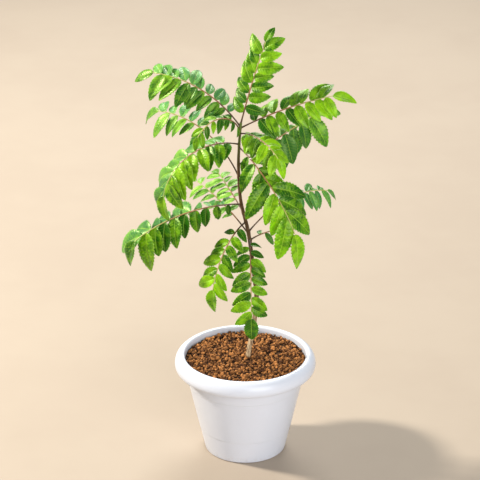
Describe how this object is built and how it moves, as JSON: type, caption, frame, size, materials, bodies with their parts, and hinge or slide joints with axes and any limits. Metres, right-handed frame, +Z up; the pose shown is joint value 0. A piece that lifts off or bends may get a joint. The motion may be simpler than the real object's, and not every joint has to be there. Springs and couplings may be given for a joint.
{
  "type": "potted curry leaf plant",
  "caption": "Young curry leaf plant: one slender woody stem with arching pinnate fronds, rooted in crumbly soil in a round tapered white plastic planter with a rounded collar.",
  "frame": {"origin": "middle of the planter's flat underside, where it stands on the ground", "axes": "+Z up along the planter's axis, +X to the plant's right and +Y away from its front"},
  "size_m": [0.4122, 0.2764, 0.8011],
  "materials": {
    "planter": "satin",
    "soil": "matte",
    "bark": "matte",
    "foliage": "satin"
  },
  "bodies": {
    "root": {"pot": "planter", "soil": "soil", "stem": "bark", "frond_top": "foliage", "frond_upper_left": "foliage", "frond_back_left": "foliage", "frond_inner_left": "foliage", "frond_mid_left": "foliage", "frond_lower_left": "foliage", "frond_far_back": "foliage", "frond_back": "foliage", "frond_back_right": "foliage", "frond_low_right": "foliage", "frond_hanging_left": "foliage", "frond_hanging_front": "foliage", "frond_inner_right": "foliage", "frond_front_right": "foliage", "frond_upper_right": "foliage", "frond_mid_right": "foliage"}
  },
  "joints": []
}
